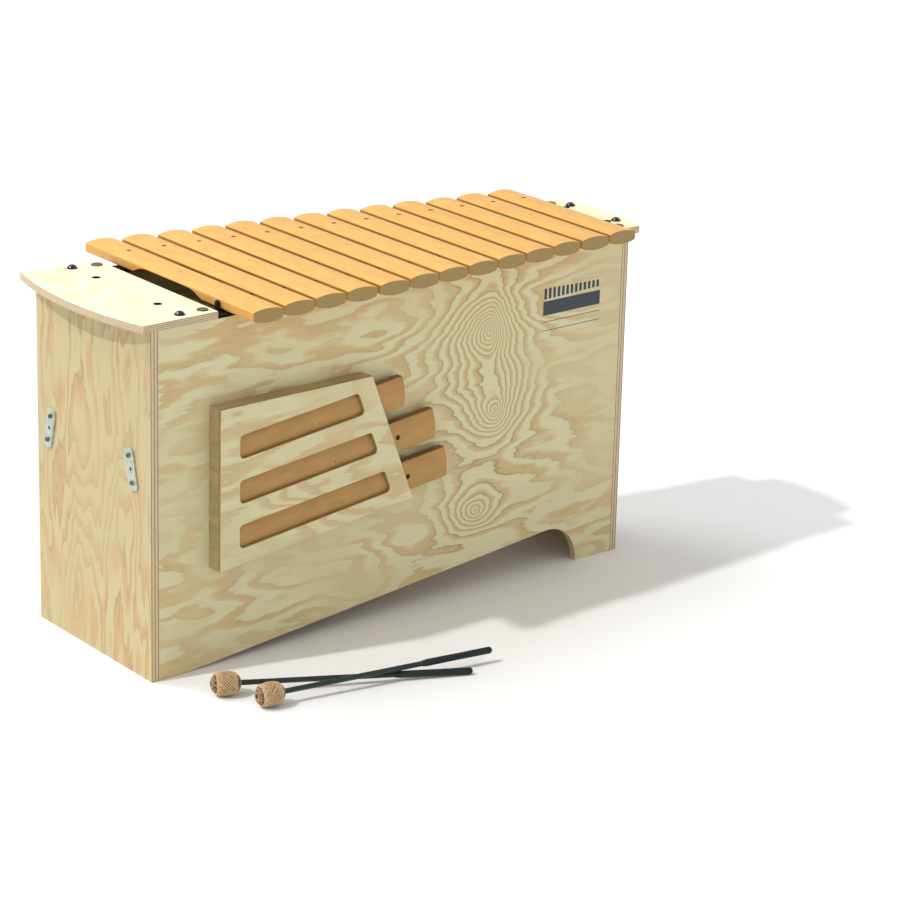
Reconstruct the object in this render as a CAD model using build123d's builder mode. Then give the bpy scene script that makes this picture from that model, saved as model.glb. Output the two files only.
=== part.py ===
from build123d import *
import os
from math import acos, cos, radians, sin, tan

# A great-bass box xylophone with thirteen fibreglass bars, a holder with three spare bars on its
# front and two beaters lying in front of it. Millimetres, +Z up, the front faces -Y and the bass
# end is at -X. The origin is on the floor, at the middle of the whole set in plan.

# --- resonator box -------------------------------------------------------------------------
BOX_LENGTH = 1056.0  # over the two side panels
BOX_HEIGHT = 600.0  # floor to the top edges of the panels
BASS_X = -531.0  # outer face of the bass side panel
TREBLE_X = BASS_X + BOX_LENGTH
CENTRE_Y = 101.7  # the line that the middles of all the bars lie on
HALF_DEPTH = 193.3  # centre line to the long outer faces, at the bass end
TAPER = 4.07  # each long face runs in towards the treble end by this angle
PANEL_T = 15.0
BOARD_T = 9.0  # bottom board and partitions
BOARD_RISE = 15.0  # bottom board above the slanted lower edge of the long panels
PARTITION_X = (-290.0, -40.0, 230.0)

# lower edge of the long panels, along the panel from its bass end
CUT_START = 67.0
CUT_END = 956.0
CUT_SLOPE = 5.25
CUT_RADIUS = 70.0

# --- rails, felt and pins --------------------------------------------------------------------
RAIL_W = 28.0
RAIL_H = 40.0
RAIL_BASS_GAP = 20.0  # the outside rail stops this far short of the bass side panel's face
FELT_T = 4.2
FRONT_FELT_SETBACK = 1.0  # from the outer face to the felt's edge
BACK_FELT_SETBACK = 10.0
FELT_END_GAP = 1.0  # between the felt and the end plates
FRONT_PIN_INSET = 22.0  # pin line behind the front outer face
BACK_PIN_INSET = 17.0  # pin line in front of the rear rail's outer face
PIN_R = 2.5
PIN_DEPTH = 15.0  # set into the rail
PIN_TOP = 618.0
PIN_EDGE_R = 0.75
BACK_SLEEVE_R = 4.0
BACK_SLEEVE_TOP = 622.0
BACK_SLEEVE_EDGE_R = 1.4
FRONT_SLEEVE_R = 4.2
FRONT_SLEEVE_TOP = 624.3
FRONT_SLEEVE_EDGE_R = 3.9
FIT_GAP = 0.05  # radial gap round anything set into a drilled hole

# --- end plates ----------------------------------------------------------------------------
PLATE_T = 13.0
PLATE_TOP = BOX_HEIGHT + PLATE_T
PLATE_EDGE_R = 1.0
BASS_PLATE_INNER = BASS_X + 134.8
BASS_PLATE_OUTER = BASS_X - 13.5
BASS_PLATE_BOW = 26.0
TREBLE_PLATE_INNER = TREBLE_X - 22.0
TREBLE_PLATE_OUTER = TREBLE_X + 26.0
TREBLE_PLATE_BOW = 18.5
BATTEN_W = 26.0
BATTEN_LENGTH = 170.0
BATTEN_EDGE_R = 4.0
BOLT_PLACES = ((BASS_X + 71.5, 167.6), (TREBLE_X + 13.5, 65.0))  # x, distance from centre line
CAP_PLACES = ((BASS_X + 117.7, 163.6), (TREBLE_X - 7.5, 97.0))
COUPLING_PLACES = ((BASS_X + 75.2, 95.8), (TREBLE_X - 2.0, 59.0))
BOLT_R = 3.0
BOLT_LENGTH = 45.0
BOLT_HEAD_R = 9.0
BOLT_HEAD_H = 6.5
CAP_R = 9.6
CAP_T = 1.8
CAP_EDGE_R = 1.0
CAP_STEM_R = 3.0
CAP_STEM_LENGTH = 8.0
COUPLING_R = 7.0

# --- bars ------------------------------------------------------------------------------------
BAR_LENGTHS = (518, 499, 484, 473, 468, 451, 435, 423, 408, 394, 373, 366, 353)
BAR_W = 58.2
BAR_PITCH = 67.54
FIRST_BAR_X = BASS_X + 152.4 + BAR_W / 2
BAR_SIDE_H = 15.6  # upright side face
BAR_CROWN = 4.3  # the top rises this much above the side faces
BAR_BELLY = 5.0  # and the underside falls this much below them
BAR_MID_Z = 617.4  # middle of the side faces
BAR_TOP_EDGE_R = 2.8
BAR_LOW_EDGE_R = 4.5
BAR_END_EDGE_R = 0.8
BAR_HOLE_R = 4.5
DOT_R = 1.7  # shallow punch mark at the middle of each bar
DOT_DEPTH = 1.2
WAIST_BASS = 7.0  # thickness left over the tuning arch of the longest bar
WAIST_TREBLE = 12.0  # and of the shortest
ARCH_HALF = 0.222  # half the arch's span, as a share of the bar's length
ARCH_RADIUS = 0.168  # radius of the arcs at its ends, as a share of the length
NODE_SHARE = 0.311  # pin hole from the middle of a spare bar, as a share of its length

# --- spare-bar holder, in the plane of the front face -------------------------------------------
HOLDER_S = 117.0  # left edge, along the front face from the box's bass corner
HOLDER_TOP = 456.0
HOLDER_BOTTOM = 176.5  # bottom of the left edge
HOLDER_TOP_LENGTH = 320.0
HOLDER_LEAN = 0.4025  # the right edge runs outwards by this much for each unit it falls
HOLDER_TILT = 6.0  # spare bars, windows and bottom edge climb at this angle
STRIP_W = 20.0
STRIP_T = 26.0
FACE_T = 6.0
FACE_FRONT_EDGE_R = 0.9
FACE_BACK_BEVEL = 0.7
WINDOW_H = 40.8
WINDOW_LIFT = 9.5  # windows sit this much above the middles of the bars
WINDOW_MARGIN = 40.0
WINDOW_R = 8.0
SPARE_W = 55.8
SPARE_LENGTHS = (471.5, 446.0, 375.0)  # lowest first
SPARE_STARTS = (32.0, 36.5, 45.0)  # left end of each, along the tilt
SPARE_PITCH = 77.5
LEDGE_FIRST = 10.0  # top of the lowest ledge above the holder's bottom edge
LEDGE_T = 20.5
SPARE_LIFT = 0.3  # clearance under each spare bar
SPARE_GAP = 0.6  # clearance between a spare bar and the front panel

# --- side fixing plates and plaque ----------------------------------------------------------------
FIX_PLACES = {  # at each end panel: y of each plate, and which way its top leans
    -1: ((-34.1, 1), (225.4, -1)),
    1: ((29.0, 1), (150.0, -1)),
}
FIX_Z = 355.7
FIX_W = 26.0
FIX_H = 72.0
FIX_T = 3.0
FIX_R = 9.0
FIX_LEAN = 14.0
FIX_HOLE_R = 3.0
FIX_SINK_R = 4.0  # wider hole drilled into the side panel behind the centre hole
FIX_SINK_DEPTH = 10.0
FIX_SCREW_SPAN = 45.6
SCREW_R = 2.0
SCREW_LENGTH = 12.0
SCREW_HEAD_R = 4.6
SCREW_HEAD_H = 3.2
SCREW_HEAD_TAPER = 18.0
SCREW_SLOT = (4.6, 1.0, 1.4)  # length, width and depth of each arm of the cross
PLAQUE_S = 923.0
PLAQUE_Z = 492.5
PLAQUE_W = 141.0
PLAQUE_H = 83.0
PLAQUE_T = 0.5
PLAQUE_R = 3.0

# --- beaters -----------------------------------------------------------------------------------
BEATERS = {  # middle of the head, far end of the grip
    "mallet_a": ((-459.3, -203.0, 21.3), (-67.1, -354.4, 6.3)),
    "mallet_b": ((-424.7, -280.7, 21.3), (-8.5, -329.6, 22.7)),
}
HEAD_R = 21.0
HEAD_HALF = 27.0
HEAD_OUTLINE = ((0.0, 1.0), (0.76, 0.76), (1.0, 0.4))  # shares of half length and radius
CORE_R = 15.0
CORE_HALF = 21.0
SHAFT_R = 4.5
SHAFT_FRONT = 23.0  # the shaft stops this far in front of the head's middle
GRIP_R = 6.0
GRIP_LENGTH = 127.0
GRIP_EDGE = 3.0

REACH = 700.0  # longer than the box, for cuts that run right through


def half_depth(x):
    """Centre line to the long outer faces at x."""
    return HALF_DEPTH - (x - BASS_X) * tan(radians(TAPER))


def long_y(side, x, inset):
    """Y of a line that runs a given distance inside the front (-1) or rear (+1) outer face."""
    return CENTRE_Y + side * (half_depth(x) - inset / cos(radians(TAPER)))


def strip(side, x0, x1, near, far):
    """Plan of a straight strip along the front or the rear, between two insets."""
    return [
        (x0, long_y(side, x0, near)),
        (x1, long_y(side, x1, near)),
        (x1, long_y(side, x1, far)),
        (x0, long_y(side, x0, far)),
    ]


def front_pin_y(x):
    return long_y(-1, x, FRONT_PIN_INSET)


def back_pin_y(x):
    return long_y(1, x, BACK_PIN_INSET)


def save(part, label):
    part.label = label
    export_step(part, f"parts/{label}.step")


taper = radians(TAPER)
tilt = radians(HOLDER_TILT)
front_plane = Plane(
    origin=(BASS_X, CENTRE_Y - HALF_DEPTH, 0),
    x_dir=(cos(taper), sin(taper), 0),
    z_dir=(sin(taper), -cos(taper), 0),
)
back_face_inset = RAIL_W
inside_x = (BASS_X + PANEL_T, TREBLE_X - PANEL_T)
bar_x = [FIRST_BAR_X + i * BAR_PITCH for i in range(len(BAR_LENGTHS))]
post_x = [FIRST_BAR_X + (i - 0.5) * BAR_PITCH for i in range(len(BAR_LENGTHS) + 1)]
front_pins = [(x, front_pin_y(x)) for x in post_x]
back_pins = [(x, back_pin_y(x)) for x in bar_x]
bolt_points = [(x, CENTRE_Y + s * d) for x, d in BOLT_PLACES for s in (-1, 1)]
cap_points = [(x, CENTRE_Y + s * d) for x, d in CAP_PLACES for s in (-1, 1)]
coupling_points = [(x, CENTRE_Y + s * d) for x, d in COUPLING_PLACES for s in (-1, 1)]
fix_points = [(end, *place) for end, places in FIX_PLACES.items() for place in places]

os.makedirs("parts", exist_ok=True)


# --- box ---------------------------------------------------------------------------------------
def side_plane(end, y, lean):
    """Plane on the outer face of an end panel, local y up and leaning, local z outwards."""
    turn = radians(lean)
    return Plane(
        origin=(BASS_X if end < 0 else TREBLE_X, y, FIX_Z),
        x_dir=(0, end * cos(turn), -end * sin(turn)),
        z_dir=(end, 0, 0),
    )


def make_side_panel(label, end):
    outer = BASS_X if end < 0 else TREBLE_X
    inner = outer - end * PANEL_T
    with BuildPart() as panel:
        with BuildSketch():
            Polygon(
                (outer, long_y(-1, outer, 0)),
                (inner, long_y(-1, inner, 0)),
                (inner, long_y(1, inner, back_face_inset)),
                (outer, long_y(1, outer, back_face_inset)),
            )
        extrude(amount=BOX_HEIGHT)
        for y, lean in FIX_PLACES[end]:
            plane = side_plane(end, y, lean * FIX_LEAN)
            with BuildSketch(plane):
                Circle(FIX_SINK_R)
            extrude(amount=-FIX_SINK_DEPTH, mode=Mode.SUBTRACT)
            with BuildSketch(plane):
                with GridLocations(0, FIX_SCREW_SPAN, 1, 2):
                    Circle(SCREW_R + FIT_GAP)
            extrude(amount=-SCREW_LENGTH, mode=Mode.SUBTRACT)
    save(panel.part, label)


def make_long_panel(label, side, near):
    """Front or back panel: full height, with the lower edge cut away to a slant and a foot."""
    start, end = CUT_START * cos(taper) + BASS_X, CUT_END * cos(taper) + BASS_X
    rise = (end - start) / cos(taper) * tan(radians(CUT_SLOPE))
    with BuildPart() as panel:
        with BuildSketch():
            Polygon(*strip(side, *inside_x, near, near + PANEL_T))
        extrude(amount=BOX_HEIGHT)
        with BuildSketch(Plane.XZ):
            with BuildLine():
                Polyline((start, 0), (end, rise), (end, 0), close=True)
            make_face()
            fillet(vertices().sort_by(Axis.Y)[-1], CUT_RADIUS)
        extrude(amount=REACH, both=True, mode=Mode.SUBTRACT)
        if side < 0:
            with BuildSketch(Plane.XY.offset(BOX_HEIGHT)):
                with Locations(*front_pins):
                    Circle(PIN_R + FIT_GAP)
            extrude(amount=-PIN_DEPTH, mode=Mode.SUBTRACT)
    save(panel.part, label)


def board_z(x):
    """Underside of the slanted bottom board."""
    along = (x - BASS_X) / cos(taper)
    return (along - CUT_START) * tan(radians(CUT_SLOPE)) + BOARD_RISE


def make_inner_board(label, profile):
    """A board inside the box: its front-view profile, cut to the space between the long panels."""
    front = strip(-1, *inside_x, PANEL_T, PANEL_T)[:2]
    back = strip(1, *inside_x, back_face_inset + PANEL_T, PANEL_T)[:2]
    with BuildPart() as board:
        with BuildSketch(Plane.XZ):
            Polygon(*profile)
        extrude(amount=REACH, both=True)
        with BuildSketch():
            Polygon(*front, *back[::-1])
        extrude(amount=BOX_HEIGHT, mode=Mode.INTERSECT)
    save(board.part, label)


make_side_panel("bass_side_panel", -1)
make_side_panel("treble_side_panel", 1)
make_long_panel("front_panel", -1, 0)
make_long_panel("back_panel", 1, back_face_inset)
make_inner_board(
    "bottom_board",
    [(x, board_z(x)) for x in inside_x] + [(x, board_z(x) + BOARD_T) for x in inside_x[::-1]],
)
for number, x in enumerate(PARTITION_X, 1):
    ends = (x - BOARD_T / 2, x + BOARD_T / 2)
    make_inner_board(
        f"partition_{number}",
        [(e, board_z(e) + BOARD_T) for e in ends] + [(e, BOX_HEIGHT - RAIL_H) for e in ends[::-1]],
    )


# --- rails, felt, pins and sleeves ------------------------------------------------------------------
def make_rail(label, side, x0, x1, near, pins):
    with BuildPart() as rail:
        with BuildSketch(Plane.XY.offset(BOX_HEIGHT - RAIL_H)):
            Polygon(*strip(side, x0, x1, near, near + RAIL_W))
        extrude(amount=RAIL_H)
        with BuildSketch(Plane.XY.offset(BOX_HEIGHT)):
            with Locations(*pins):
                Circle(PIN_R + FIT_GAP)
        extrude(amount=-PIN_DEPTH, mode=Mode.SUBTRACT)
        with BuildSketch(Plane.XY.offset(BOX_HEIGHT)):
            with Locations(*bolt_points):
                Circle(BOLT_R + FIT_GAP)
        extrude(amount=PLATE_T - BOLT_LENGTH, mode=Mode.SUBTRACT)
    save(rail.part, label)


def make_felt(label, side, setback, pins, radius):
    with BuildPart() as felt:
        with BuildSketch(Plane.XY.offset(BOX_HEIGHT)):
            ends = (BASS_PLATE_INNER + FELT_END_GAP, TREBLE_PLATE_INNER - FELT_END_GAP)
            Polygon(*strip(side, *ends, setback, PANEL_T + RAIL_W))
            with Locations(*pins):
                Circle(radius + FIT_GAP, mode=Mode.SUBTRACT)
        extrude(amount=FELT_T)
    save(felt.part, label)


def make_pins(label, places, radius, bottom, top):
    with BuildPart() as pins:
        with BuildSketch(Plane.XY.offset(bottom)):
            with Locations(*places):
                Circle(radius)
        extrude(amount=top - bottom)
        fillet(pins.edges().group_by(Axis.Z)[-1], PIN_EDGE_R)
    save(pins.part, label)


def make_sleeves(label, places, radius, top, rounding):
    """Rubber sleeves, closed at the top, pushed over the pins."""
    with BuildPart() as sleeves:
        with BuildSketch(Plane.XY.offset(BOX_HEIGHT)):
            with Locations(*places):
                Circle(radius)
        extrude(amount=top - BOX_HEIGHT)
        fillet(sleeves.edges().group_by(Axis.Z)[-1], rounding)
        with BuildSketch(Plane.XY.offset(BOX_HEIGHT)):
            with Locations(*places):
                Circle(PIN_R + FIT_GAP)
        extrude(amount=PIN_TOP + FIT_GAP - BOX_HEIGHT, mode=Mode.SUBTRACT)
    save(sleeves.part, label)


pin_bottom = BOX_HEIGHT - PIN_DEPTH + FIT_GAP
make_rail("front_rail", -1, *inside_x, PANEL_T, front_pins)
make_rail("back_rail", 1, BASS_X + RAIL_BASS_GAP, TREBLE_X, 0, back_pins)
make_felt("front_felt", -1, FRONT_FELT_SETBACK, front_pins, FRONT_SLEEVE_R)
make_felt("back_felt", 1, BACK_FELT_SETBACK, back_pins, BACK_SLEEVE_R)
make_pins("front_pins", front_pins, PIN_R, pin_bottom, PIN_TOP)
make_pins("back_pins", back_pins, PIN_R, pin_bottom, PIN_TOP)
for label, places, radius, top, rounding in (
    ("front_pin_sleeves", front_pins, FRONT_SLEEVE_R, FRONT_SLEEVE_TOP, FRONT_SLEEVE_EDGE_R),
    ("back_pin_sleeves", back_pins, BACK_SLEEVE_R, BACK_SLEEVE_TOP, BACK_SLEEVE_EDGE_R),
):
    make_sleeves(label, places, radius, top, rounding)


# --- end plates with their batten, bolts and caps ------------------------------------------------------
def make_end_plate(label, inner, outer, bow):
    """Flat plate over one end of the box; its outer edge is bowed."""
    corners = [(x, long_y(side, x, 0)) for x, side in ((outer, -1), (inner, -1), (inner, 1), (outer, 1))]
    middle = (outer + (bow if outer > inner else -bow), CENTRE_Y)
    with BuildPart() as plate:
        with BuildSketch(Plane.XY.offset(BOX_HEIGHT)):
            with BuildLine():
                Polyline(*corners)
                ThreePointArc(corners[3], middle, corners[0])
            make_face()
        extrude(amount=PLATE_T)
        fillet(plate.edges().group_by(Axis.Z)[-1], PLATE_EDGE_R)
        with BuildSketch(Plane.XY.offset(BOX_HEIGHT)):
            with Locations(*bolt_points):
                Circle(BOLT_R + FIT_GAP)
            with Locations(*cap_points):
                Circle(CAP_STEM_R + FIT_GAP)
            with Locations(*coupling_points):
                Circle(COUPLING_R)
        extrude(amount=PLATE_T, mode=Mode.SUBTRACT)
    save(plate.part, label)


make_end_plate("bass_end_plate", BASS_PLATE_INNER, BASS_PLATE_OUTER, BASS_PLATE_BOW)
make_end_plate("treble_end_plate", TREBLE_PLATE_INNER, TREBLE_PLATE_OUTER, TREBLE_PLATE_BOW)

with BuildPart() as batten:
    with BuildSketch(Plane.XY.offset(BOX_HEIGHT - RAIL_H)):
        with Locations((TREBLE_X + BATTEN_W / 2, CENTRE_Y)):
            Rectangle(BATTEN_W, BATTEN_LENGTH)
    extrude(amount=RAIL_H)
    fillet(batten.edges().filter_by(Axis.Z).group_by(Axis.X)[-1], BATTEN_EDGE_R)
    with BuildSketch(Plane.XY.offset(BOX_HEIGHT)):
        with Locations(*bolt_points):
            Circle(BOLT_R + FIT_GAP)
    extrude(amount=PLATE_T - BOLT_LENGTH, mode=Mode.SUBTRACT)
save(batten.part, "treble_batten")

with BuildPart() as bolts:
    dome_r = (BOLT_HEAD_R**2 + BOLT_HEAD_H**2) / (2 * BOLT_HEAD_H)
    for x, y in bolt_points:
        with BuildSketch(Plane(origin=(x, y, PLATE_TOP), x_dir=(1, 0, 0), z_dir=(0, -1, 0))):
            with BuildLine():
                Polyline(
                    (0, BOLT_HEAD_H),
                    (0, -BOLT_LENGTH + FIT_GAP),
                    (BOLT_R, -BOLT_LENGTH + FIT_GAP),
                    (BOLT_R, 0),
                    (BOLT_HEAD_R, 0),
                )
                RadiusArc((BOLT_HEAD_R, 0), (0, BOLT_HEAD_H), -dome_r)
            make_face()
        revolve(axis=Axis((x, y, 0), (0, 0, 1)))
save(bolts.part, "dome_bolts")

with BuildPart() as caps:
    with BuildSketch(Plane.XY.offset(PLATE_TOP)):
        with Locations(*cap_points):
            Circle(CAP_R)
    extrude(amount=CAP_T)
    fillet(caps.edges().group_by(Axis.Z)[-1], CAP_EDGE_R)
    with BuildSketch(Plane.XY.offset(PLATE_TOP)):
        with Locations(*cap_points):
            Circle(CAP_STEM_R)
    extrude(amount=-CAP_STEM_LENGTH)
save(caps.part, "plate_caps")


# --- bars ---------------------------------------------------------------------------------------
def make_bar(label, plane, length, width, waist, hole_at):
    """One bar. Local x is across it and local z along it; the crown is on the local y side."""
    across, along = plane.x_dir, plane.z_dir
    up = along.cross(across)
    side = BAR_SIDE_H / 2
    with BuildPart() as bar:
        with BuildSketch(plane):
            with BuildLine():
                Line((width / 2, -side), (width / 2, side))
                ThreePointArc((width / 2, side), (0, side + BAR_CROWN), (-width / 2, side))
                Line((-width / 2, side), (-width / 2, -side))
                ThreePointArc((-width / 2, -side), (0, -side - BAR_BELLY), (width / 2, -side))
            make_face()
            fillet(vertices().group_by(Axis.Y)[-1], BAR_TOP_EDGE_R)
            fillet(vertices().group_by(Axis.Y)[0], BAR_LOW_EDGE_R)
        extrude(amount=length / 2, both=True)
        fillet(bar.faces().sort_by(SortBy.AREA)[:2].edges(), BAR_END_EDGE_R)

        # tuning arch: flat in the middle, running out to the underside on two arcs
        top = side + BAR_CROWN - waist
        low = -side - BAR_BELLY - 1
        radius = ARCH_RADIUS * length
        turn = acos(1 - (top - low) / radius)
        flat = ARCH_HALF * length - radius * sin(turn)
        with BuildSketch(Plane(origin=plane.origin, x_dir=-along, z_dir=across)):
            with BuildLine():
                for s in (-1, 1):
                    points = [
                        (s * (flat + radius * sin(t)), top - radius * (1 - cos(t)))
                        for t in (0, turn / 2, turn)
                    ]
                    ThreePointArc(*points)
                Line((-flat, top), (flat, top))
                Line((-ARCH_HALF * length, low), (ARCH_HALF * length, low))
            make_face()
        extrude(amount=width, both=True, mode=Mode.SUBTRACT)

        crown_plane = Plane(origin=plane.origin + up * (side + BAR_CROWN), x_dir=across, z_dir=up)
        with BuildSketch(crown_plane):
            with Locations((0, hole_at)):
                Circle(BAR_HOLE_R)
        extrude(amount=-width, mode=Mode.SUBTRACT)
        with BuildSketch(crown_plane):
            Circle(DOT_R)
        extrude(amount=-DOT_DEPTH, mode=Mode.SUBTRACT)
    save(bar.part, label)


def waist_for(length):
    """Bars are left thicker over the arch towards the treble."""
    share = (BAR_LENGTHS[0] - length) / (BAR_LENGTHS[0] - BAR_LENGTHS[-1])
    return WAIST_BASS + share * (WAIST_TREBLE - WAIST_BASS)


for number, (x, length) in enumerate(zip(bar_x, BAR_LENGTHS), 1):
    make_bar(
        f"bar_{number:02d}",
        Plane(origin=(x, CENTRE_Y, BAR_MID_Z), x_dir=(1, 0, 0), z_dir=(0, -1, 0)),
        length,
        BAR_W,
        waist_for(length),
        back_pin_y(x) - CENTRE_Y,
    )

# --- holder for the spare bars -----------------------------------------------------------------------
spare_middle = LEDGE_FIRST + SPARE_LIFT + SPARE_W / 2


def holder_point(s, v):
    """Front-plane point at distance s along the face and v above the holder's bottom edge."""
    return s, HOLDER_BOTTOM + (s - HOLDER_S) * tan(tilt) + v / cos(tilt)


def holder_right(v, margin=0):
    """Front-plane point at height v on the right edge, or a margin inside it."""
    level = HOLDER_TOP - HOLDER_BOTTOM + HOLDER_S * tan(tilt) - v / cos(tilt)
    s = (HOLDER_S + HOLDER_TOP_LENGTH - margin + HOLDER_LEAN * level) / (1 + HOLDER_LEAN * tan(tilt))
    return holder_point(s, v)


top_right = (HOLDER_S + HOLDER_TOP_LENGTH, HOLDER_TOP)
inner_s = HOLDER_S + STRIP_W
strip_bottom = HOLDER_TOP - STRIP_W

with BuildPart() as left_strip:
    with BuildSketch(front_plane):
        Polygon(
            (HOLDER_S, HOLDER_BOTTOM),
            holder_point(inner_s, 0),
            (inner_s, strip_bottom),
            (HOLDER_S, HOLDER_TOP),
        )
    extrude(amount=STRIP_T)
save(left_strip.part, "holder_left_strip")

with BuildPart() as top_strip:
    with BuildSketch(front_plane):
        Polygon(
            (inner_s, strip_bottom),
            (top_right[0] + HOLDER_LEAN * STRIP_W, strip_bottom),
            top_right,
            (HOLDER_S, HOLDER_TOP),
        )
    extrude(amount=STRIP_T)
save(top_strip.part, "holder_top_strip")

with BuildPart() as ledges:
    for k in range(len(SPARE_LENGTHS)):
        top = LEDGE_FIRST + k * SPARE_PITCH
        bottom = max(top - LEDGE_T, 0)
        with BuildSketch(front_plane):
            Polygon(
                holder_point(inner_s, bottom),
                holder_right(bottom),
                holder_right(top),
                holder_point(inner_s, top),
            )
        extrude(amount=STRIP_T)
save(ledges.part, "holder_ledges")

with BuildPart() as face:
    with BuildSketch(front_plane.offset(STRIP_T)):
        Polygon((HOLDER_S, HOLDER_BOTTOM), holder_right(0), top_right, (HOLDER_S, HOLDER_TOP))
    extrude(amount=FACE_T)
    for k in range(len(SPARE_LENGTHS)):
        middle = spare_middle + k * SPARE_PITCH + WINDOW_LIFT
        low, high = middle - WINDOW_H / 2, middle + WINDOW_H / 2
        left = HOLDER_S + WINDOW_MARGIN
        with BuildSketch(front_plane.offset(STRIP_T)) as window:
            Polygon(
                holder_point(left, low),
                holder_right(low, WINDOW_MARGIN),
                holder_right(high, WINDOW_MARGIN),
                holder_point(left, high),
            )
            fillet(window.vertices(), WINDOW_R)
        extrude(amount=FACE_T, mode=Mode.SUBTRACT)
    layers = face.faces().sort_by(Axis((0, 0, 0), front_plane.z_dir))
    fillet(layers[-1].edges(), FACE_FRONT_EDGE_R)
    chamfer(layers[0].outer_wire().edges(), FACE_BACK_BEVEL)
save(face.part, "holder_face_plate")

along_tilt = front_plane.x_dir * cos(tilt) + Vector(0, 0, sin(tilt))
across_tilt = front_plane.x_dir * -sin(tilt) + Vector(0, 0, cos(tilt))
holder_corner = front_plane.from_local_coords(
    Vector(HOLDER_S, HOLDER_BOTTOM, SPARE_GAP + BAR_SIDE_H / 2 + BAR_BELLY)
)
for k, (length, start) in enumerate(zip(SPARE_LENGTHS, SPARE_STARTS)):
    middle = (
        holder_corner
        + along_tilt * (start + length / 2)
        + across_tilt * (spare_middle + k * SPARE_PITCH)
    )
    make_bar(
        f"spare_bar_{k + 1}",
        Plane(origin=middle, x_dir=-across_tilt, z_dir=-along_tilt),
        length,
        SPARE_W,
        waist_for(length),
        NODE_SHARE * length,
    )

# --- side fixing plates, their screws and the plaque ------------------------------------------------------
with BuildPart() as fix_plates:
    for end, y, lean in fix_points:
        with BuildSketch(side_plane(end, y, lean * FIX_LEAN)):
            RectangleRounded(FIX_W, FIX_H, FIX_R)
            Circle(FIX_HOLE_R, mode=Mode.SUBTRACT)
            with GridLocations(0, FIX_SCREW_SPAN, 1, 2):
                Circle(SCREW_R + FIT_GAP, mode=Mode.SUBTRACT)
        extrude(amount=FIX_T)
save(fix_plates.part, "fixing_plates")

slot_length, slot_width, slot_depth = SCREW_SLOT
with BuildPart() as screws:
    for end, y, lean in fix_points:
        face_plane = side_plane(end, y, lean * FIX_LEAN)
        with BuildSketch(face_plane.offset(FIX_T)):
            with GridLocations(0, FIX_SCREW_SPAN, 1, 2):
                Circle(SCREW_R)
        extrude(amount=-(SCREW_LENGTH - FIT_GAP + FIX_T))
        with BuildSketch(face_plane.offset(FIX_T)):
            with GridLocations(0, FIX_SCREW_SPAN, 1, 2):
                Circle(SCREW_HEAD_R)
        extrude(amount=SCREW_HEAD_H, taper=SCREW_HEAD_TAPER)
        with BuildSketch(face_plane.offset(FIX_T + SCREW_HEAD_H)):
            with GridLocations(0, FIX_SCREW_SPAN, 1, 2):
                Rectangle(slot_length, slot_width)
                Rectangle(slot_width, slot_length)
        extrude(amount=-slot_depth, mode=Mode.SUBTRACT)
save(screws.part, "fixing_screws")

with BuildPart() as plaque:
    with BuildSketch(front_plane):
        with Locations((PLAQUE_S, PLAQUE_Z)):
            RectangleRounded(PLAQUE_W, PLAQUE_H, PLAQUE_R)
    extrude(amount=PLAQUE_T)
save(plaque.part, "blank_plaque")


# --- beaters ----------------------------------------------------------------------------------------
def egg(radius, half):
    """Half outline of a barrel-like head, from its front pole to its back pole."""
    quarter = [(half * along, radius * out) for along, out in HEAD_OUTLINE]
    return [(-along, out) for along, out in quarter[:0:-1]] + quarter


def make_beater(label, head, end):
    origin, tip = Vector(*head), Vector(*end)
    run = (tip - origin).normalized()
    length = (tip - origin).length
    plane = Plane(origin=origin, x_dir=run, z_dir=run.cross(Vector(0, 0, 1)).normalized())
    axis = Axis(origin, run)

    def turned(part_label, outline, bore=0.0, spline=False, hollow=None):
        with BuildPart() as piece:
            with BuildSketch(plane):
                with BuildLine():
                    first, last = outline[0], outline[-1]
                    if spline:
                        Spline(*outline)
                    else:
                        Polyline(*outline)
                    Polyline(last, (last[0], bore), (first[0], bore), first)
                make_face()
            revolve(axis=axis)
            if hollow:
                with BuildSketch(plane):
                    with BuildLine():
                        Spline(*hollow)
                        Polyline(hollow[-1], (hollow[-1][0], 0), (hollow[0][0], 0), hollow[0])
                    make_face()
                revolve(axis=axis, mode=Mode.SUBTRACT)
        save(piece.part, part_label)

    shaft_end = length - GRIP_EDGE
    turned(f"{label}_shaft", [(-SHAFT_FRONT, SHAFT_R), (shaft_end, SHAFT_R)])
    turned(f"{label}_core", egg(CORE_R, CORE_HALF), SHAFT_R, spline=True)
    turned(
        f"{label}_yarn",
        egg(HEAD_R, HEAD_HALF),
        SHAFT_R,
        spline=True,
        hollow=egg(CORE_R, CORE_HALF),
    )
    with BuildPart() as grip:
        with BuildSketch(plane):
            with Locations((length - GRIP_LENGTH / 2, GRIP_R / 2)):
                Rectangle(GRIP_LENGTH, GRIP_R)
        revolve(axis=axis)
        fillet(grip.edges(), GRIP_EDGE)
        with BuildSketch(plane):
            with Locations(((length - GRIP_LENGTH + shaft_end) / 2, SHAFT_R / 2)):
                Rectangle(shaft_end - length + GRIP_LENGTH, SHAFT_R)
        revolve(axis=axis, mode=Mode.SUBTRACT)
    save(grip.part, f"{label}_grip")


for name, (head, end) in BEATERS.items():
    make_beater(name, head, end)
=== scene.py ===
"""Looks of a great-bass box xylophone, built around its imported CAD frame. Metres, front towards -Y."""

import random
from math import cos, pi, radians, sin, sqrt

import bmesh
import bpy
from mathutils import Matrix, Vector


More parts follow.
